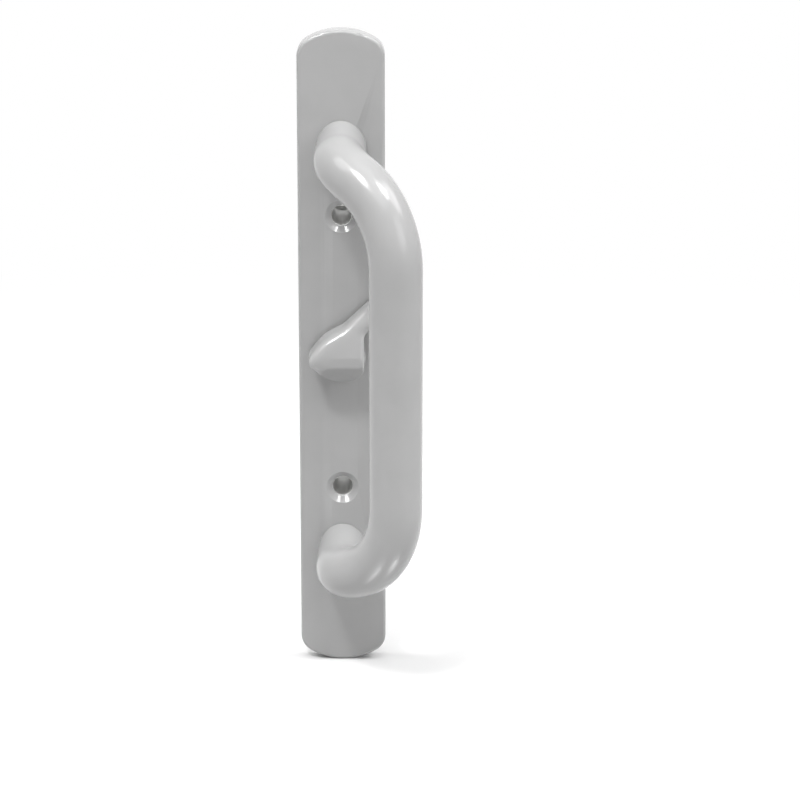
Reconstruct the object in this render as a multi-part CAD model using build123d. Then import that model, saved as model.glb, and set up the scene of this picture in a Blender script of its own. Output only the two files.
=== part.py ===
from build123d import *
import os
from math import cos, radians, sin, sqrt, tan

# Interior handle of a sliding patio door: a die-cast escutcheon, a pull grip that stands off to one
# side of it, and a thumb turn whose tailpiece works the lock inside the door.
#
# Frame, in millimetres: X to the right of a person facing the handle, Z up, and the door face at
# Y = 0 with the room towards -Y. The origin lies midway between the two mounting holes. Distances
# named below run out of the door face into the room, so a negative one lies inside the door.

# How far a cut runs past the face that it opens
overrun = 1.0

# Escutcheon casting
plate_length = 232.0
plate_width = 30.7
plate_depth = 7.0
face_wall = 2.4
side_wall = 2.2
end_radius = 23.0
corner_radius = 7.0
front_edge_radius = 1.2
rib_thickness = 1.6
rib_setback = 0.6
cam_rib_gap = 11.0
mount_rib_gap = 13.0
end_rib_gap = 20.0

# Mounting holes and the posts behind them
mount_spacing = 100.0
mount_rim_diameter = 11.7
mount_bore_diameter = 7.1
mount_sink_angle = 90.0
mount_shank_diameter = 4.4
mount_post_diameter = 12.0
mount_post_reach = 21.0
mount_post_floor = 2.0
post_tip_chamfer = 0.8

# Grip
grip_root_spacing = 148.0
grip_diameter = 18.4
grip_foot_width = 17.9
grip_foot_height = 20.6
grip_offset = 19.2
grip_reach = 47.0
grip_stub_length = 26.5
grip_bar_corner = 62.6
grip_elbow_radius = 20.0
grip_bend_radius = 30.5
grip_spigot_diameter = 12.0
grip_spigot_length = 1.0
spigot_clearance = 0.1

# Screws that hold the grip from behind
screw_diameter = 5.0
screw_thread_depth = 13.0
screw_thread_clearance = 0.05
screw_hole_clearance = 0.25
screw_head_diameter = 9.2
screw_head_height = 2.9
screw_drive_length = 4.6
screw_drive_width = 1.1
screw_drive_depth = 1.6
screw_tip_gap = 1.5
lock_washer_diameter = 9.8
lock_washer_thickness = 1.2
lock_washer_tooth_count = 10
lock_washer_tooth_depth = 1.1
lock_washer_tooth_gap = 0.8
screw_well_wall = 1.8
screw_well_room = 1.4

# Bearing of the thumb turn
journal_diameter = 8.0
bearing_clearance = 0.05
bush_diameter = 10.0
bush_flange_diameter = 14.6
bush_flange_thickness = 1.0
hub_diameter = 15.0
hub_depth = 1.2
lever_lift = 0.1

# Spindle and the stack that holds it from behind
tenon_square = 5.6
tenon_length = 8.4
tenon_clearance = 0.03
spindle_flats = 6.6
washer_clearance = 0.15
thrust_washer_diameter = 14.0
thrust_washer_thickness = 0.6
spring_washer_diameter = 12.8
spring_washer_thickness = 0.3
spring_washer_height = 0.85
stack_clearance = 0.05
cam_thickness = 1.5
cam_diameter = 13.0
cam_arm_width = 5.0
cam_arm_radius = 11.4
cam_room = 1.5
ring_diameter = 12.0
ring_band = 1.4
ring_thickness = 0.8
ring_groove_diameter = 6.0
ring_groove_clearance = 0.05
ring_mouth = 5.4
ring_prong_width = 2.2
turn_range = 90.0
stop_stud_diameter = 3.0
stop_stud_radius = 10.0
stop_stud_clearance = 0.3
stop_stud_overhang = 0.15

# Tailpiece
fork_length = 7.5
fork_start = 1.6
tailpiece_width = 6.0
tailpiece_thickness = 2.0
tailpiece_length = 46.0
tailpiece_clearance = 0.05
tailpiece_nose = 1.5
pin_diameter = 2.0
pin_wall = 0.45
pin_slot = 0.4
pin_inset = 3.4
pin_end_gap = 0.6
pin_clearance = 0.02

# Thumb turn, seen from the room; each point is (to the right, up) from the spindle's axis
collar_diameter = 17.0
collar_height = 5.0
collar_foot_angle = 35.0
heel_foot = (-10.3, -2.6)
heel_corner = (-12.35, 0.48)
heel_radius = 2.2
brow_corner = (-6.5, 7.9)
brow_radius = 14.0
tail_corner = (0.7, 11.8)
tail_corner_radius = 8.0
tail_angle = 43.0
tail_length = 15.7
tail_width = 6.6
body_right = 8.0
neck_radius = 2.6
crown_slope = 18.0
crown_edge_radius = 1.6
crease_level = 2.3
crease_height = 15.3
lip_level = -1.2
lip_height = 15.6
lip_radius = 1.5
scoop_depth = 0.65
scoop_drop = 0.4
socket_depth = 9.0
grub_diameter = 3.5
grub_length = 4.6
grub_level = 2.6
grub_hex = 1.6
grub_hex_depth = 2.0

# Levels in front of the door face, worked out from the sizes above
face = plate_depth
wall_back = plate_depth - face_wall
hub_back = wall_back - hub_depth
lever_back = face + bush_flange_thickness + lever_lift
cam_front = hub_back - thrust_washer_thickness - spring_washer_height - 2 * stack_clearance
cam_back = cam_front - cam_thickness
ring_front = cam_back - stack_clearance
ring_back = ring_front - ring_thickness
spindle_back = ring_back - fork_start - fork_length
pin_level = spindle_back + pin_inset

# Other sizes worked out from those above
root_height = grip_root_spacing / 2
mount_height = mount_spacing / 2
well_diameter = lock_washer_diameter + 2 * screw_well_room
cam_room_radius = cam_arm_radius + cam_room
cam_rest_angle = 180 + turn_range / 2


def at(x, z):
    """Plane with its own x along X and its own y running out of the door face."""
    return Plane(origin=(x, 0, z), x_dir=(1, 0, 0), z_dir=(0, 0, -1))


def turned(outline, x=0.0, z=0.0):
    """Solid turned about an axis square to the door; outline is (radius, distance) points."""
    section = at(x, z) * make_face(Polyline(*outline, close=True))
    return revolve(section, Axis((x, 0, z), (0, 1, 0)), 360)


def rod(diameter, back, front, x=0.0, z=0.0):
    """Round bar square to the door, between two distances in front of the door face."""
    return prism(Circle(diameter / 2), back, front, x, z)


def prism(sketch, back, front, x=0.0, z=0.0, turn=0.0):
    """Sketch in the plane of the door, carried from one distance to another."""
    return extrude(Plane.XZ.offset(back) * Pos(x, z) * Rot(0, 0, turn) * sketch, front - back)


def plate_outline():
    """Straight sides, shallow round ends and softened corners."""
    sides = Rectangle(plate_width, plate_length)
    end_centre = plate_length / 2 - end_radius
    ends = Pos(0, end_centre) * Circle(end_radius) + Pos(0, -end_centre) * Circle(end_radius)
    middle = Rectangle(plate_width, 2 * end_centre)
    outline = sides & (ends + middle)
    return fillet(outline.vertices(), corner_radius)


def mount_recess(z):
    """Countersunk mouth, deep bore for the head and shank hole of one mounting screw."""
    rim = mount_rim_diameter / 2
    bore = mount_bore_diameter / 2
    shank = mount_shank_diameter / 2
    seat = mount_post_floor - mount_post_reach
    sink = (rim - bore) / tan(radians(mount_sink_angle / 2))
    mouth = face + overrun
    end = -mount_post_reach - overrun
    outline = [(0, mouth), (rim, mouth), (rim, face), (bore, face - sink), (bore, seat),
               (shank, seat), (shank, end), (0, end)]
    return turned(outline, 0, z)


def mount_post(z):
    """Post that reaches into the door and holds the screw's seat, before it is bored."""
    radius = mount_post_diameter / 2
    tip = -mount_post_reach
    outline = [(0, wall_back), (radius, wall_back), (radius, tip + post_tip_chamfer),
               (radius - post_tip_chamfer, tip), (0, tip)]
    return turned(outline, 0, z)


def screw_well(z):
    """Round wall that stands on the door and leaves room for the grip screw's head."""
    outer = well_diameter + 2 * screw_well_wall
    return rod(outer, 0, wall_back, 0, z) - rod(well_diameter, -overrun, wall_back, 0, z)


def stop_stud(side):
    """Cast stud that stops the cam's arm; side is 1 for rest and -1 for the end of the turn."""
    reach = cam_arm_width / 2 + stop_stud_diameter / 2 + stop_stud_clearance
    swing = reach / stop_stud_radius
    angle = radians(180 + side * turn_range / 2)
    across = sqrt(1 - swing * swing)
    x = stop_stud_radius * (cos(angle) * across - side * sin(angle) * swing)
    z = stop_stud_radius * (sin(angle) * across + side * cos(angle) * swing)
    return rod(stop_stud_diameter, cam_back - stop_stud_overhang, wall_back, x, z)


def escutcheon_ribs():
    """One rib down the middle and cross ribs beside the cam, the posts and the screw wells."""
    inner_width = plate_width - side_wall
    ribs = prism(Rectangle(rib_thickness, plate_length - side_wall), rib_setback, wall_back)
    places = [cam_room_radius + cam_rib_gap, mount_height - mount_rib_gap,
              mount_height + mount_rib_gap, root_height + end_rib_gap]
    for side in (1, -1):
        for place in places:
            cross = Rectangle(inner_width, rib_thickness)
            ribs += prism(cross, rib_setback, wall_back, 0, side * place)
        ribs -= rod(well_diameter + screw_well_wall, 0, wall_back, 0, side * root_height)
    return ribs - rod(2 * cam_room_radius, 0, wall_back)


def escutcheon():
    """Hollow casting with its posts, wells, bearing hub, stops and ribs."""
    outline = plate_outline()
    body = prism(outline, 0, face)
    front_edges = body.faces().sort_by(Axis.Y)[0].edges()
    body = fillet(front_edges, front_edge_radius)
    body -= prism(offset(outline, -side_wall), -overrun, wall_back)
    body += escutcheon_ribs() & prism(outline, 0, wall_back)
    body += rod(hub_diameter, hub_back, wall_back)
    for side in (1, -1):
        body += mount_post(side * mount_height)
        body += screw_well(side * root_height)
        body += stop_stud(side)
    body -= rod(bush_diameter, 0, face + overrun)
    spigot_hole = grip_spigot_diameter + 2 * spigot_clearance
    spigot_floor = face - grip_spigot_length - spigot_clearance
    screw_hole = screw_diameter + 2 * screw_hole_clearance
    for side in (1, -1):
        body -= mount_recess(side * mount_height)
        body -= rod(spigot_hole, spigot_floor, face + overrun, 0, side * root_height)
        body -= rod(screw_hole, 0, face, 0, side * root_height)
    return body


def grip_path():
    """Centre line from root to root: stub, elbow, bend and bar, and the same again below."""
    bar_out = face + grip_reach
    stub_out = face + grip_stub_length
    points = [(0, -face, root_height), (0, -stub_out, root_height),
              (grip_offset, -bar_out, grip_bar_corner), (grip_offset, -bar_out, -grip_bar_corner),
              (0, -stub_out, -root_height), (0, -face, -root_height)]
    radii = [grip_elbow_radius, grip_bend_radius, grip_bend_radius, grip_elbow_radius]
    return FilletPolyline(*points, radius=radii)


def grip():
    """Round pull swept along its centre line, with oval feet, spigots and threaded holes."""
    edges = grip_path().edges().sort_by(Axis.Y)
    straight = edges[-1].length
    curve = Wire(edges[:-2])
    section = Plane(curve @ 0, x_dir=(1, 0, 0), z_dir=curve % 0) * Circle(grip_diameter / 2)
    body = sweep(section, curve)
    spigot_end = face - grip_spigot_length
    thread_end = face + screw_thread_depth
    for side in (1, -1):
        z = side * root_height
        oval = Plane.XZ.offset(face) * Pos(0, z) * Ellipse(grip_foot_width / 2, grip_foot_height / 2)
        round_end = Plane.XZ.offset(face + straight) * Pos(0, z) * Circle(grip_diameter / 2)
        body += loft([oval, round_end])
        body += rod(grip_spigot_diameter, spigot_end, face, 0, z)
        body -= rod(screw_diameter, spigot_end - overrun, thread_end, 0, z)
    return body


def grip_screw(z):
    """Cheese head machine screw with a cross recess, driven from behind."""
    shank = screw_diameter / 2 - screw_thread_clearance
    head = screw_head_diameter / 2
    seat = wall_back - lock_washer_thickness
    back = seat - screw_head_height
    tip = face + screw_thread_depth - screw_tip_gap
    screw = turned([(0, back), (head, back), (head, seat), (shank, seat), (shank, tip), (0, tip)], 0, z)
    slot = Rectangle(screw_drive_length, screw_drive_width)
    for turn in (0, 90):
        screw -= prism(slot, back - overrun, back + screw_drive_depth, 0, z, turn)
    return screw


def lock_washer(z):
    """Flat washer with teeth cut into its rim."""
    seat = wall_back - lock_washer_thickness
    rim = lock_washer_diameter / 2
    washer = Circle(rim) - Circle(screw_diameter / 2 + screw_hole_clearance)
    notch = Pos(rim, 0) * Rectangle(2 * lock_washer_tooth_depth, lock_washer_tooth_gap)
    for tooth in range(lock_washer_tooth_count):
        washer -= Rot(0, 0, tooth * 360 / lock_washer_tooth_count) * notch
    return prism(washer, seat, wall_back, 0, z)


def spindle_bush():
    """Flanged bearing bush; the thumb turn runs on its flange."""
    bore = journal_diameter / 2 + bearing_clearance
    body = bush_diameter / 2
    flange = bush_flange_diameter / 2
    front = face + bush_flange_thickness
    return turned([(bore, hub_back), (body, hub_back), (body, face), (flange, face),
                   (flange, front), (bore, front)])


def flat_round(diameter, flats):
    """Circle with two flats, as on the back half of the spindle."""
    return Circle(diameter / 2) & Rectangle(2 * diameter, flats)


def spindle():
    """Square tenon, round journal, flatted tail with a ring groove, and a fork at the end."""
    tenon_front = lever_back + tenon_length
    body = prism(Rectangle(tenon_square, tenon_square), lever_back, tenon_front)
    body += rod(journal_diameter, cam_front, lever_back)
    body += prism(flat_round(journal_diameter, spindle_flats), spindle_back, cam_front)
    groove = Circle(journal_diameter) - Circle(ring_groove_diameter / 2)
    body -= prism(groove, ring_back - ring_groove_clearance, ring_front)
    fork = Rectangle(2 * journal_diameter, tailpiece_thickness + 2 * tailpiece_clearance)
    body -= prism(fork, spindle_back - overrun, spindle_back + fork_length, turn=90)
    return body - pin_bore()


def pin_bore():
    """Cross hole for the tailpiece's pin."""
    bore = Plane.YZ.offset(-journal_diameter) * Pos(-pin_level, 0)
    return extrude(bore * Circle(pin_diameter / 2), 2 * journal_diameter)


def thrust_washer():
    """Flat washer between the hub's back and the bowed washer."""
    bore = journal_diameter / 2 + washer_clearance
    back = hub_back - thrust_washer_thickness
    ring = Circle(thrust_washer_diameter / 2) - Circle(bore)
    return prism(ring, back, hub_back)


def spring_washer():
    """Washer bowed about one axis, which gives the turn its drag."""
    low = cam_front + stack_clearance
    crest = low + spring_washer_height
    sag = spring_washer_height - spring_washer_thickness
    half = spring_washer_diameter / 2
    inner = (half * half + sag * sag) / (2 * sag)
    outer = inner + spring_washer_thickness
    bow = Pos(0, outer - crest, 0) * Rot(0, 90, 0)
    shell = bow * Cylinder(outer, 2 * spring_washer_diameter)
    shell -= bow * Cylinder(inner, 2 * spring_washer_diameter)
    ring = Circle(half) - Circle(journal_diameter / 2 + washer_clearance)
    return shell & prism(ring, low - overrun, crest + overrun)


def stop_cam():
    """Stamped plate keyed to the spindle; its arm swings between the cast studs."""
    arm = Pos(cam_arm_radius / 2, 0) * Rectangle(cam_arm_radius, cam_arm_width)
    blank = Circle(cam_diameter / 2) + Rot(0, 0, cam_rest_angle) * arm
    blank = blank & Circle(cam_arm_radius)
    gap = 2 * stack_clearance
    key = flat_round(journal_diameter + gap, spindle_flats + gap)
    return prism(blank - key, cam_back, cam_front)


def retaining_ring():
    """Open ring with three prongs that sit in the spindle's groove."""
    outer = Circle(ring_diameter / 2)
    band = outer - Circle(ring_diameter / 2 - ring_band)
    prong = Pos(ring_diameter / 4, 0) * Rectangle(ring_diameter / 2, ring_prong_width)
    prongs = prong + Rot(0, 0, 90) * prong + Rot(0, 0, 180) * prong
    mouth = Pos(0, -ring_diameter / 2) * Rectangle(ring_mouth, ring_diameter)
    bore = Circle(ring_groove_diameter / 2 + ring_groove_clearance)
    ring = (band - mouth) + (prongs & outer)
    return prism(ring - bore, ring_back, ring_front)


def tailpiece():
    """Flat steel blade that works the lock, with a hole for its pin and a tapered nose."""
    front = spindle_back + fork_length - tailpiece_clearance
    back = front - tailpiece_length
    middle = (front + back) / 2
    blade = Plane.YZ * Pos(-middle, 0) * Rectangle(tailpiece_length, tailpiece_width)
    nose = blade.vertices().sort_by(Axis.Y)[-2:]
    blade = chamfer(nose, tailpiece_nose)
    body = extrude(blade, tailpiece_thickness / 2, both=True)
    return body - pin_bore()


def tailpiece_pin():
    """Rolled spring pin with its slit, as long as the spindle is thick."""
    radius = pin_diameter / 2 - pin_clearance
    length = journal_diameter - 2 * pin_end_gap
    place = Plane.YZ.offset(-length / 2) * Pos(-pin_level, 0)
    slit = Pos(radius, 0) * Rectangle(4 * pin_wall, pin_slot)
    tube = Circle(radius) - Circle(radius - pin_wall) - slit
    return extrude(place * tube, length)


def lever_outline():
    """Heel to the left, brow above it and a straight tail that rises to the right."""
    run = Vector(cos(radians(tail_angle)), sin(radians(tail_angle)))
    across = Vector(run.Y, -run.X) * tail_width
    tip_high = Vector(*tail_corner) + run * tail_length
    tip_low = tip_high + across
    tip = tip_high + across / 2 + run * (tail_width / 2)
    under_tail = Vector(*tail_corner) + across
    corner_level = under_tail.Y + (body_right - under_tail.X) * run.Y / run.X
    collar = collar_diameter / 2
    right_foot = Vector(body_right, -sqrt(collar**2 - body_right**2))
    foot_turn = radians(collar_foot_angle)
    left_foot = Vector(-collar * cos(foot_turn), -collar * sin(foot_turn))
    brow = FilletPolyline(heel_foot, heel_corner, brow_corner, tail_corner, tip_high,
                          radius=[heel_radius, brow_radius, tail_corner_radius])
    right = FilletPolyline(tip_low, (body_right, corner_level), right_foot, radius=neck_radius)
    lines = [brow, ThreePointArc(tip_high, tip, tip_low), right,
             ThreePointArc(right_foot, (0, -collar), left_foot), Line(left_foot, heel_foot)]
    return make_face(Wire([edge for line in lines for edge in line.edges()]))


def lever_crown():
    """Room below the sloped front of the lever, seen from its side."""
    high = tail_corner[1] + tail_length
    low = -collar_diameter
    slope = tan(radians(crown_slope))
    crease = face + crease_height
    side = [(0, low), (-crease - (crease_level - low) * slope, low),
            (-crease + (high - crease_level) * slope, high), (0, high)]
    return across_lever(Polyline(*side, close=True))


def lever_underside():
    """What is cut away below the crease: a narrow band down to the lip, then the scoop."""
    low = -collar_diameter
    room = (-2 * (face + crease_height), low)
    crease = (-face - crease_height, crease_level)
    lip = (-face - lip_height, lip_level)
    foot = (-lever_back - collar_height, -collar_diameter / 2 - scoop_drop)
    lines = [Line(crease, lip), SagittaArc(lip, foot, -scoop_depth), Line(foot, (foot[0], low)),
             Line((foot[0], low), room), Line(room, (room[0], crease_level)),
             Line((room[0], crease_level), crease)]
    return across_lever(lines)


def across_lever(lines):
    """Block wider than the lever, from lines in a plane square to the door: (-distance, height)."""
    return extrude(Plane.YZ * make_face(lines), 2 * tail_length, both=True)


def lever_socket():
    """Square socket for the spindle and the threaded hole of the grub screw."""
    square = tenon_square + 2 * tenon_clearance
    socket = prism(Rectangle(square, square), lever_back - overrun, lever_back + socket_depth)
    grub = Plane.XY * Pos(0, -lever_back - grub_level) * Circle(grub_diameter / 2)
    return socket + extrude(grub, -collar_diameter)


def thumb_turn():
    """Lever with a sloped front, a scooped underside and a collar that takes the spindle."""
    body = prism(lever_outline(), lever_back, 2 * (face + crease_height)) & lever_crown()
    crown = body.faces().sort_by(Axis.Y)[0]
    body = fillet(crown.edges(), crown_edge_radius) - lever_underside()
    lip = body.edges().filter_by(Axis.X).sort_by(Axis.Y)[0]
    body = fillet(lip, lip_radius)
    body += rod(collar_diameter, lever_back, lever_back + collar_height)
    return body - lever_socket()


def grub_screw():
    """Short threaded plug with a hexagon socket, below the spindle's tenon."""
    top = -tenon_square / 2 - tenon_clearance
    place = Plane.XY.offset(top) * Pos(0, -lever_back - grub_level)
    radius = grub_diameter / 2 - screw_thread_clearance
    body = extrude(place * Circle(radius), -grub_length)
    key = Plane.XY.offset(top - grub_length) * Pos(0, -lever_back - grub_level)
    body -= extrude(key * RegularPolygon(grub_hex / 2, 6, major_radius=False), grub_hex_depth)
    return body


pieces = {
    "escutcheon": escutcheon(),
    "grip": grip(),
    "spindle_bush": spindle_bush(),
    "thrust_washer": thrust_washer(),
    "thumb_turn": thumb_turn(),
    "grub_screw": grub_screw(),
    "spindle": spindle(),
    "spring_washer": spring_washer(),
    "stop_cam": stop_cam(),
    "retaining_ring": retaining_ring(),
    "tailpiece": tailpiece(),
    "tailpiece_pin": tailpiece_pin(),
}
for name, side in (("upper", 1), ("lower", -1)):
    pieces["grip_screw_" + name] = grip_screw(side * root_height)
    pieces["lock_washer_" + name] = lock_washer(side * root_height)

os.makedirs("parts", exist_ok=True)
for name, piece in pieces.items():
    export_step(piece, "parts/" + name + ".step")
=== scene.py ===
from math import cos, pi, radians, sin

import bmesh
import bpy
import numpy as np
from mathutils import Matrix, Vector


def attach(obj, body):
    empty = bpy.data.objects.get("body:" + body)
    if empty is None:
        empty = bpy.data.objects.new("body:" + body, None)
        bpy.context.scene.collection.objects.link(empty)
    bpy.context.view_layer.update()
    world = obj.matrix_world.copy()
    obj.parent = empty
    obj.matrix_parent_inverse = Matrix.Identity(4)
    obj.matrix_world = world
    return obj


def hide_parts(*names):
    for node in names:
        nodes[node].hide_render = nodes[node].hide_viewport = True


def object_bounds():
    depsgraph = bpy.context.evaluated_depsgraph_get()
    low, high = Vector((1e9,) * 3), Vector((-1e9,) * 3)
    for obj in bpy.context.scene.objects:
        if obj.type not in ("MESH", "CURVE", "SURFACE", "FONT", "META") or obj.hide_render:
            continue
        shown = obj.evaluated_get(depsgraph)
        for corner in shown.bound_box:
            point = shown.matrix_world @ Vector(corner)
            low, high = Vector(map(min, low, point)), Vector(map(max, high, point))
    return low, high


# Interior handle of a sliding patio door, in metres: X to the right, +Y into the door, Z up.
# The door's face is the plane Y = 0, so the handle stands out of it towards -Y.
# Angles are in degrees.

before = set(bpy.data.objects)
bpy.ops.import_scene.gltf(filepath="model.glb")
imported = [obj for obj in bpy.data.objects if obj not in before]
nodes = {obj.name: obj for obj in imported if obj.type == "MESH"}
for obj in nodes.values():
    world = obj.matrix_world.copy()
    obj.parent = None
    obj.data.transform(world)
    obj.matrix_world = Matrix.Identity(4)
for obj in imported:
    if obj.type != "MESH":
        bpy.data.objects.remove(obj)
cad_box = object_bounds()

# The grip's centre line, its section and its feet
plate_depth = 0.007
root_height = 0.074
grip_radius = 0.0092
foot_half_width = 0.00895
foot_half_height = 0.0103
foot_round = 0.0003
grip_offset = 0.0192
grip_reach = 0.047
stub_length = 0.0265
bar_corner = 0.0626
elbow_radius = 0.020
bend_radius = 0.0305
spigot_radius = 0.006
spigot_length = 0.001
thread_radius = 0.0025
thread_depth = 0.013

# The grip's mesh: steps along straight runs and bends, points round a ring, distance under
# which two points are one, and bend from which an edge is sharp
run_step = 0.002
arc_step = 3
ring_points = 96
grip_joined = 1e-7
grip_crease = 35

# The lever's broad brow: size of the even mesh's cells, times that it is smoothed, the brow's
# line as (X, Z), how far round it the full share reaches, how far the share takes to fade, how
# far off the door it starts, and the share of all other points
lever_cell = 0.00025
lever_rounds = 150
brow_line = ((-0.01235, 0.0005), (-0.0065, 0.0079), (0.0007, 0.0118), (0.0042, 0.0150))
brow_reach = 0.0042
brow_fade = 0.0025
brow_front = 0.0120
lever_ease = 0.03

# Copies of the solids: distance under which points are one, bend under which neighbouring
# faces are one, bend from which an edge is sharp, segments of an eased edge, distance that
# joins the points of two eased edges that meet, and how broadly the edges are eased
solid_joined = 2e-6
flat_bend = 0.4
solid_crease = 28
edge_segments = 2
edge_joined = 1e-6
cast_edge = 0.0003
zinc_edge = 0.0001
bush_edge = 0.00015
spring_edge = 0.00006

# Mounting holes, bare metal within this radius of their axes and in front of this depth; its
# light colour is painted light that brightens the shaded inside of the holes
mount_height = 0.050
bare_brightened_radius = 0.0037
bare_brightened_depth = 0.0205
# Painted light: the bare metal's colour is set light to brighten the shaded inside of the
# mounting holes
bare_brightening_colour = (0.82, 0.82, 0.81, 1)
bare_roughness = 0.55

# The noise of a tint runs from its dark to its light shade between these two values
tint_start = 0.35
tint_end = 0.65

# Camera: the point it looks at, its height above that in degrees, its distance and its lens in
# millimetres, fitted to the photograph
aim_point = (0.02061, 0.0, -0.01928)
camera_elevation = 16.5
camera_distance = 1.17749
camera_lens = 147.44
sensor_width = 36.0

# Lamps: name, azimuth and elevation from the handle, size, power, and whether they are seen
# in matt surfaces and in gloss
lamp_distance = 3.0
lamps = (
    ("key", -24.0, 52.0, 0.4, 26.0, True, False),
    ("right", 90.0, 50.0, 1.6, 33.0, True, True),
    ("left", -90.0, 50.0, 1.6, 21.0, True, True),
    ("front_right", 45.0, 25.0, 1.6, 14.0, True, True),
    ("overhead", 0.0, 60.0, 1.6, 13.5, True, True),
    ("top", 0.0, 88.0, 1.6, 10.0, True, True),
    ("gloss_left", -51.0, 59.0, 0.9, 60.0, False, True),
    ("gloss_right", 58.0, 66.0, 0.8, 50.0, False, True),
    ("low_left", -46.6, -61.6, 0.9, 28.0, False, True),
    ("low_right", 52.0, -68.6, 0.8, 28.0, False, True),
)
sky_light = 0.75

# Floor: its size, its grey as it is seen and as it throws light back, its roughness, and the
# distances from its middle between which it fades to white
floor_size = 3.0
floor_seen = 0.93
floor_bounce = 0.45
floor_roughness = 0.9
fade_start = 0.15
fade_end = 0.6


# Nodes of the materials

# The Mix node's kind, and its places for the share, both values and the result
number_mix = ("FLOAT", 0, 2, 3, 0)
colour_mix = ("RGBA", 0, 6, 7, 2)


def give(tree, value, socket):
    """Links another socket to this one, or writes a plain value on it."""
    if isinstance(value, bpy.types.NodeSocket):
        tree.links.new(value, socket)
    else:
        socket.default_value = value


def math_node(tree, operation, *values):
    """Result of one sum; each value is a socket or a number."""
    node = tree.nodes.new("ShaderNodeMath")
    node.operation = operation
    for socket, value in zip(node.inputs, values):
        give(tree, value, socket)
    return node.outputs[0]


def mixed(tree, kind, share, first, second):
    """The first value where the share is 0 and the second where it is 1, blended between."""
    data_type, share_place, first_place, second_place, result_place = kind
    node = tree.nodes.new("ShaderNodeMix")
    node.data_type = data_type
    give(tree, share, node.inputs[share_place])
    give(tree, first, node.inputs[first_place])
    give(tree, second, node.inputs[second_place])
    return node.outputs[result_place]


def own_place(tree):
    """The object's own coordinates."""
    return tree.nodes.new("ShaderNodeTexCoord").outputs["Object"]


def split(tree, vector):
    """Sockets X, Y and Z of a vector."""
    node = tree.nodes.new("ShaderNodeSeparateXYZ")
    tree.links.new(vector, node.inputs[0])
    return node.outputs


def length(tree, vector):
    """Socket with the length of a vector."""
    node = tree.nodes.new("ShaderNodeVectorMath")
    node.operation = "LENGTH"
    tree.links.new(vector, node.inputs[0])
    return node.outputs["Value"]


def seen_rays(tree):
    """1 for the rays of the camera, of gloss and of glass, 0 for all others."""
    rays = tree.nodes.new("ShaderNodeLightPath").outputs
    seen = math_node(tree, "MAXIMUM", rays["Is Camera Ray"], rays["Is Glossy Ray"])
    return math_node(tree, "MAXIMUM", seen, rays["Is Transmission Ray"])


def new_material(name):
    """New material and its shader."""
    material = bpy.data.materials.new(name)
    material.use_nodes = True
    return material, material.node_tree.nodes["Principled BSDF"]


# Camera, light and floor

def direction(azimuth, elevation):
    """Unit vector from the handle; azimuth 0 is straight in front, and 90 is to its right."""
    a, e = radians(azimuth), radians(elevation)
    return np.array([sin(a) * cos(e), -cos(a) * cos(e), sin(e)])


def place_towards(thing, middle, distance, azimuth, elevation):
    """Puts a camera or lamp in that direction from a middle point, and turns it to face it."""
    thing.location = np.array(middle) + distance * direction(azimuth, elevation)
    thing.rotation_euler = (radians(90 - elevation), 0, radians(azimuth))
    bpy.context.scene.collection.objects.link(thing)


def make_camera():
    """Camera that looks down on the handle from in front, as the photograph does."""
    data = bpy.data.cameras.new("camera")
    data.lens = camera_lens
    data.sensor_width = sensor_width
    camera = bpy.data.objects.new("camera", data)
    place_towards(camera, aim_point, camera_distance, 0, camera_elevation)
    bpy.context.scene.camera = camera


def make_lamp(name, azimuth, elevation, size, power, in_matt, in_gloss):
    """Round soft light that points at the middle of the handle."""
    data = bpy.data.lights.new(name, "AREA")
    data.shape = "DISK"
    data.size = size
    data.energy = power
    lamp = bpy.data.objects.new(name, data)
    lamp.visible_diffuse = in_matt
    lamp.visible_glossy = in_gloss
    place_towards(lamp, (0, 0, 0), lamp_distance, azimuth, elevation)


def make_world():
    """Soft light that grows with the height of its direction, to sky_light straight above.

    The camera, gloss and glass see plain white all round.
    """
    world = bpy.data.worlds.new("studio")
    bpy.context.scene.world = world
    world.use_nodes = True
    tree = world.node_tree
    background = tree.nodes["Background"]
    background.inputs["Color"].default_value = (1, 1, 1, 1)
    way = tree.nodes.new("ShaderNodeTexCoord").outputs["Generated"]
    height = math_node(tree, "MAXIMUM", split(tree, way)["Z"], 0.0)
    light = math_node(tree, "MULTIPLY", height, sky_light)
    strength = mixed(tree, number_mix, seen_rays(tree), light, 1.0)
    tree.links.new(strength, background.inputs["Strength"])


def floor_finish():
    """White that keeps the shadow near the handle and fades to plain white further off.

    It throws back less light than it shows, as a floor with darker surroundings does.
    """
    material, shader = new_material("floor")
    shader.inputs["Roughness"].default_value = floor_roughness
    tree = material.node_tree
    seen = seen_rays(tree)
    colour = mixed(tree, colour_mix, seen, (floor_bounce, floor_bounce, floor_bounce, 1),
                   (floor_seen, floor_seen, floor_seen, 1))
    tree.links.new(colour, shader.inputs["Base Color"])
    fade = tree.nodes.new("ShaderNodeMapRange")
    fade.interpolation_type = "SMOOTHSTEP"
    fade.inputs["From Min"].default_value = fade_start
    fade.inputs["From Max"].default_value = fade_end
    tree.links.new(length(tree, own_place(tree)), fade.inputs["Value"])
    share = math_node(tree, "MULTIPLY", seen, fade.outputs["Result"])
    white = tree.nodes.new("ShaderNodeEmission")
    blend = tree.nodes.new("ShaderNodeMixShader")
    for source, socket in zip((share, shader.outputs[0], white.outputs[0]), blend.inputs):
        tree.links.new(source, socket)
    tree.links.new(blend.outputs[0], tree.nodes["Material Output"].inputs["Surface"])
    return material


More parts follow.
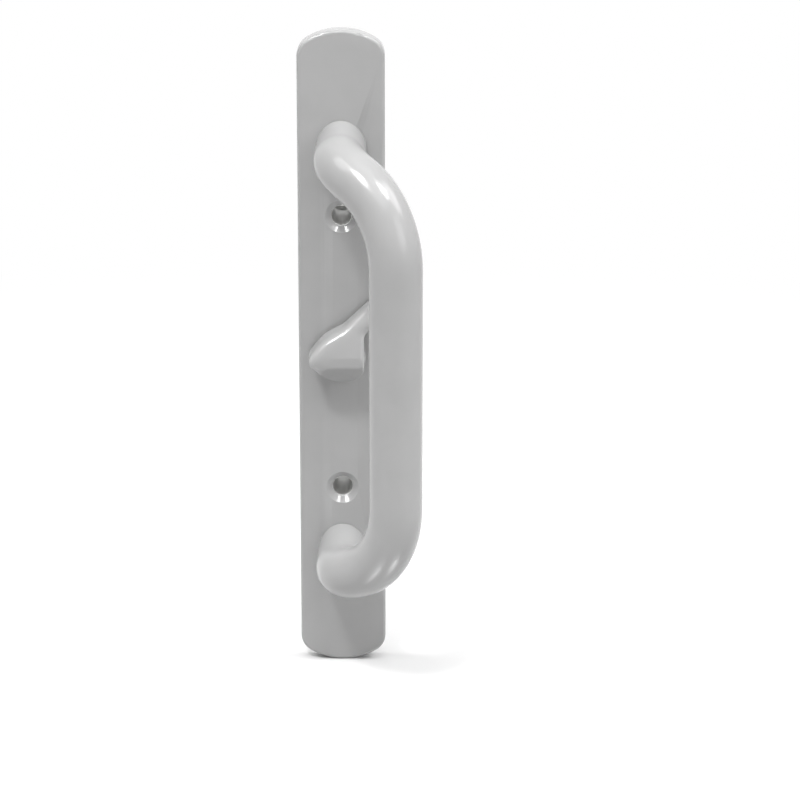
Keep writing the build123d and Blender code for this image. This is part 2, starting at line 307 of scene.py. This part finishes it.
def make_floor():
    """Square under the handle.

    It casts no shadow, so it lets the two low lamps through. They stand for the lamps mirrored
    in a glossy table.
    """
    low = cad_box[0].z
    half = floor_size / 2
    mesh = bpy.data.meshes.new("floor")
    corners = [(-half, -half, low), (half, -half, low), (half, half, low), (-half, half, low)]
    mesh.from_pydata(corners, [], [(0, 1, 2, 3)])
    mesh.materials.append(floor_finish())
    floor = bpy.data.objects.new("floor", mesh)
    floor.visible_shadow = False
    bpy.context.scene.collection.objects.link(floor)


# Finishes

def noise(tree, cells, detail=2.0):
    """Noise over the object's own coordinates, with so many cells to the metre."""
    texture = tree.nodes.new("ShaderNodeTexNoise")
    texture.inputs["Scale"].default_value = cells
    texture.inputs["Detail"].default_value = detail
    tree.links.new(own_place(tree), texture.inputs["Vector"])
    return texture.outputs["Fac"]


def surface_finish(name, metal, tint_cells, tint_detail, dark, light,
                   rough_cells, smoothest, roughest, grain_cells, grain_height):
    """Material whose colour, roughness and fine relief each follow a noise of their own.

    Colour goes from dark to light, and roughness from smoothest to roughest. The relief is
    grain_height high.
    """
    material, shader = new_material(name)
    tree = material.node_tree
    shader.inputs["Metallic"].default_value = metal

    tint = tree.nodes.new("ShaderNodeValToRGB")
    ends = ((tint_start, dark), (tint_end, light))
    for element, (position, shade) in zip(tint.color_ramp.elements, ends):
        element.position = position
        element.color = (*shade, 1)
    tree.links.new(noise(tree, tint_cells, tint_detail), tint.inputs["Fac"])
    tree.links.new(tint.outputs["Color"], shader.inputs["Base Color"])

    sheen = tree.nodes.new("ShaderNodeMapRange")
    sheen.inputs["To Min"].default_value = smoothest
    sheen.inputs["To Max"].default_value = roughest
    tree.links.new(noise(tree, rough_cells), sheen.inputs["Value"])
    tree.links.new(sheen.outputs["Result"], shader.inputs["Roughness"])

    relief = tree.nodes.new("ShaderNodeBump")
    relief.inputs["Strength"].default_value = 1.0
    relief.inputs["Distance"].default_value = grain_height
    tree.links.new(noise(tree, grain_cells), relief.inputs["Height"])
    tree.links.new(relief.outputs["Normal"], shader.inputs["Normal"])
    return material


def grey_paint(name):
    """Satin light grey paint over a die casting, with a faint orange peel."""
    return surface_finish(name, metal=0.0, tint_cells=60, tint_detail=3,
                          dark=(0.475, 0.475, 0.475), light=(0.495, 0.495, 0.495),
                          rough_cells=140, smoothest=0.16, roughest=0.20,
                          grain_cells=900, grain_height=0.000004)


def zinc_plate():
    """Bright zinc on steel, slightly uneven."""
    return surface_finish("zinc_plate", metal=1.0, tint_cells=500, tint_detail=6,
                          dark=(0.47, 0.475, 0.48), light=(0.56, 0.56, 0.55),
                          rough_cells=900, smoothest=0.26, roughest=0.40,
                          grain_cells=2500, grain_height=0.000004)


def spring_steel():
    """Hardened steel with a dark oiled skin."""
    return surface_finish("spring_steel", metal=1.0, tint_cells=500, tint_detail=4,
                          dark=(0.16, 0.16, 0.17), light=(0.26, 0.25, 0.24),
                          rough_cells=1200, smoothest=0.32, roughest=0.48,
                          grain_cells=3000, grain_height=0.000003)


def bush_plastic():
    """Matte moulded acetal."""
    return surface_finish("bush_plastic", metal=0.0, tint_cells=400, tint_detail=3,
                          dark=(0.52, 0.52, 0.50), light=(0.58, 0.58, 0.56),
                          rough_cells=1500, smoothest=0.5, roughest=0.62,
                          grain_cells=4000, grain_height=0.000003)


def bare_brightened_holes(material):
    """Bare machined metal in both mounting holes of a painted casting; its light colour is
    painted light that brightens the holes' shaded insides.

    The share of bare, lightened metal is 1 within the given radius of a hole's axis and in
    front of the given depth.
    """
    tree = material.node_tree
    shader = tree.nodes["Principled BSDF"]
    place = split(tree, own_place(tree))
    height = math_node(tree, "ABSOLUTE", place["Z"])
    from_axis = tree.nodes.new("ShaderNodeCombineXYZ")
    tree.links.new(place["X"], from_axis.inputs["X"])
    tree.links.new(math_node(tree, "SUBTRACT", height, mount_height), from_axis.inputs["Z"])
    near = math_node(tree, "LESS_THAN", length(tree, from_axis.outputs[0]), bare_brightened_radius)
    ahead = math_node(tree, "LESS_THAN", place["Y"], bare_brightened_depth)
    share = math_node(tree, "MULTIPLY", near, ahead)
    tree.links.new(share, shader.inputs["Metallic"])
    for name, kind, bare in (("Base Color", colour_mix, bare_brightening_colour),
                             ("Roughness", number_mix, bare_roughness)):
        painted = shader.inputs[name].links[0].from_socket
        tree.links.new(mixed(tree, kind, share, painted, bare), shader.inputs[name])


def dress(piece, body, material, crease):
    """Finish, shading and carrier of a piece."""
    mesh = piece.data
    mesh.shade_smooth()
    mesh.set_sharp_from_angle(angle=radians(crease))
    mesh.materials.clear()
    mesh.materials.append(material)
    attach(piece, body)


# Grip

def carried_path(corners, radii):
    """Points and unit directions along straight runs joined by tangent arcs.

    At each corner the arc starts radius * tan(turn / 2) before it. A point on the arc is the
    arc's centre plus the radius turned from the first run's direction towards the second's.
    """
    corners = np.array(corners)
    runs = np.diff(corners, axis=0)
    runs /= np.linalg.norm(runs, axis=1)[:, None]
    points, ways, start = [], [], corners[0]
    for corner, way, after, radius in zip(corners[1:], runs, runs[1:], radii):
        turn = np.arccos(way @ after)
        inward = (after - way * cos(turn)) / sin(turn)
        begin = corner - way * radius * np.tan(turn / 2)
        centre = begin + inward * radius
        add_run(points, ways, start, begin, way)
        t = np.linspace(0, turn, int(turn / radians(arc_step)) + 2)[:, None]
        points.append(centre + radius * (way * np.sin(t) - inward * np.cos(t)))
        ways.append(way * np.cos(t) + inward * np.sin(t))
        start = points[-1][-1]
    add_run(points, ways, start, corners[-1], runs[-1])
    return np.vstack(points), np.vstack(ways)


def add_run(points, ways, start, end, way):
    """Evenly spaced points of a straight run, without its last one."""
    count = max(int(np.linalg.norm(end - start) / run_step), 1)
    t = np.linspace(0, 1, count, endpoint=False)[:, None]
    points.append(start + (end - start) * t)
    ways.append(np.repeat(way[None], count, axis=0))


def rings(centres, ways, wide, tall):
    """Ovals square to a path.

    A point of a ring is its centre + wide u cos a + tall v sin a. The unit vectors u and v are
    square to the path, with u as near to X as it can be.
    """
    u = np.array([1.0, 0, 0]) - ways[:, :1] * ways
    u /= np.linalg.norm(u, axis=1)[:, None]
    v = np.cross(ways, u)
    a = np.linspace(0, 2 * pi, ring_points, endpoint=False)[None, :, None]
    across = (wide[:, None] * u)[:, None] * np.cos(a)
    along = (tall[:, None] * v)[:, None] * np.sin(a)
    return centres[:, None] + across + along


def tube_faces(rows):
    """Quads between neighbouring rings, each ring closed on itself."""
    i, j = np.meshgrid(np.arange(rows - 1), np.arange(ring_points), indexing="ij")
    k = (j + 1) % ring_points
    here, there = i * ring_points, (i + 1) * ring_points
    return np.stack([here + j, here + k, there + k, there + j], -1).reshape(-1, 4)


def grip_profile():
    """Rings of the whole grip: threaded hole, spigot, foot, tube, and the same again below.

    The centre line comes from carried_path. Each foot is an oval at the plate, whose two half
    sizes change evenly along the stub to the tube's radius.
    """
    stub = plate_depth + stub_length
    bar = plate_depth + grip_reach
    corners = [(0, -plate_depth, root_height), (0, -stub, root_height),
               (grip_offset, -bar, bar_corner), (grip_offset, -bar, -bar_corner),
               (0, -stub, -root_height), (0, -plate_depth, -root_height)]
    radii = [elbow_radius, bend_radius, bend_radius, elbow_radius]
    centres, ways = carried_path(corners, radii)
    out = -centres[:, 1] - plate_depth
    straight = np.isclose(ways[:, 0], 0) & np.isclose(ways[:, 2], 0)
    share = np.clip(out / out[straight].max(), 0, 1)[:, None]
    foot = np.array([foot_half_width, foot_half_height])
    sizes = foot + (grip_radius - foot) * share

    # Half width, half height and distance in front of the plate's face of each ring that ends
    # a foot, from the bottom of its threaded hole outwards to its rounded edge
    end = np.array([(0, 0, thread_depth),
                    (thread_radius, thread_radius, thread_depth),
                    (thread_radius, thread_radius, -spigot_length),
                    (spigot_radius, spigot_radius, -spigot_length),
                    (spigot_radius, spigot_radius, 0),
                    (*(foot - foot_round), 0),
                    (*foot, foot_round)])
    ahead = plate_depth + end[:, 2]
    top = np.stack([np.zeros(len(end)), -ahead, np.full(len(end), root_height)], 1)
    low = top * (1, 1, -1)
    centres = np.vstack([top, centres[1:-1], low[::-1]])
    way_out = np.repeat([(0.0, -1.0, 0.0)], len(end), axis=0)
    ways = np.vstack([way_out, ways[1:-1], -way_out])
    sizes = np.vstack([end[:, :2], sizes[1:-1], end[::-1, :2]])
    return centres, ways, sizes


def make_grip(material):
    """The grip as rings carried along its centre line, with its place in its points."""
    centres, ways, sizes = grip_profile()
    points = rings(centres, ways, sizes[:, 0], sizes[:, 1]).reshape(-1, 3)
    mesh = bpy.data.meshes.new("grip_bar")
    mesh.from_pydata(points.tolist(), [], tube_faces(len(centres)).tolist())
    piece = bpy.data.objects.new("grip_bar", mesh)
    bpy.context.scene.collection.objects.link(piece)
    work = bmesh.new()
    work.from_mesh(mesh)
    bmesh.ops.remove_doubles(work, verts=work.verts, dist=grip_joined)
    bmesh.ops.recalc_face_normals(work, faces=work.faces)
    work.to_mesh(mesh)
    work.free()
    dress(piece, "escutcheon", material, grip_crease)
    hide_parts("grip")


# Pieces whose solids have the right form

def eased(node, body, material, edge):
    """Copy of a solid's mesh, merged, with every sharp edge rounded by a small radius."""
    mesh = nodes[node].data.copy()
    piece = bpy.data.objects.new(node + "_finished", mesh)
    bpy.context.scene.collection.objects.link(piece)
    work = bmesh.new()
    work.from_mesh(mesh)
    bmesh.ops.remove_doubles(work, verts=work.verts, dist=solid_joined)
    bmesh.ops.dissolve_limit(work, angle_limit=radians(flat_bend), verts=work.verts,
                             edges=work.edges)
    work.to_mesh(mesh)
    work.free()
    dress(piece, body, material, solid_crease)
    bevel = piece.modifiers.new("eased_edges", "BEVEL")
    bevel.width = edge
    bevel.segments = edge_segments
    bevel.limit_method = "ANGLE"
    bevel.angle_limit = radians(solid_crease)
    bevel.harden_normals = True
    weld = piece.modifiers.new("joined_points", "WELD")
    weld.merge_threshold = edge_joined
    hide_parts(node)
    return piece


def round_brow(piece):
    """Even mesh of the lever, whose brow is broadly rounded.

    Again and again each point moves by its share of the way to the mean of its neighbours.
    brow_share gives the shares.
    """
    piece.modifiers.clear()
    even = piece.modifiers.new("even_mesh", "REMESH")
    even.mode = "VOXEL"
    even.voxel_size = lever_cell
    solid = piece.evaluated_get(bpy.context.evaluated_depsgraph_get())
    mesh = bpy.data.meshes.new_from_object(solid)
    piece.modifiers.clear()
    points = np.empty(3 * len(mesh.vertices))
    mesh.vertices.foreach_get("co", points)
    points = points.reshape(-1, 3)
    pairs = np.empty(2 * len(mesh.edges), dtype=np.int64)
    mesh.edges.foreach_get("vertices", pairs)
    pairs = pairs.reshape(-1, 2)
    ends, others = np.hstack([pairs.T, pairs.T[::-1]])
    share = brow_share(points)[:, None]
    count = np.bincount(ends, minlength=len(points))[:, None]
    for _ in range(lever_rounds):
        total = [np.bincount(ends, weights=points[others, axis], minlength=len(points))
                 for axis in range(3)]
        points = points + share * (np.stack(total, 1) / count - points)
    mesh.vertices.foreach_set("co", points.ravel())
    mesh.materials.clear()
    mesh.materials.append(piece.data.materials[0])
    mesh.shade_smooth()
    piece.data = mesh


def brow_share(points):
    """How freely each point of the lever moves.

    The share is 1 within brow_reach of the brow's line, as seen from the front, and from
    brow_front + brow_fade off the door. It fades to lever_ease over brow_fade, both away from
    the line and towards the door.
    """
    flat = points[:, [0, 2]]
    near = np.full(len(points), np.inf)
    line = np.array(brow_line)
    for start, end in zip(line, line[1:]):
        run = end - start
        t = np.clip((flat - start) @ run / (run @ run), 0, 1)
        near = np.minimum(near, np.linalg.norm(flat - start - t[:, None] * run, axis=1))
    beside = np.clip(1 - (near - brow_reach) / brow_fade, 0, 1)
    ahead = np.clip((-points[:, 1] - brow_front) / brow_fade, 0, 1)
    return lever_ease + (1 - lever_ease) * beside * ahead


def make_finished_pieces():
    """Every piece of the handle in its finish, on the body that carries it."""
    paint = grey_paint("grey_paint")
    drilled_paint = grey_paint("grey_paint_drilled")
    # Lightened bare metal in the mounting holes: painted light in their shaded insides
    bare_brightened_holes(drilled_paint)
    zinc = zinc_plate()
    steel = spring_steel()
    plastic = bush_plastic()
    make_grip(paint)
    eased("escutcheon", "escutcheon", drilled_paint, cast_edge)
    round_brow(eased("thumb_turn", "thumb_turn", paint, cast_edge))
    for node in ("grip_screw_upper", "grip_screw_lower", "lock_washer_upper",
                 "lock_washer_lower", "thrust_washer"):
        eased(node, "escutcheon", zinc, zinc_edge)
    eased("spindle_bush", "escutcheon", plastic, bush_edge)
    for node in ("spindle", "stop_cam", "tailpiece"):
        eased(node, "thumb_turn", zinc, zinc_edge)
    for node in ("grub_screw", "spring_washer", "retaining_ring", "tailpiece_pin"):
        eased(node, "thumb_turn", steel, spring_edge)


make_camera()
make_world()
make_floor()
for lamp in lamps:
    make_lamp(*lamp)
make_finished_pieces()

bpy.context.scene.view_settings.view_transform = "Standard"
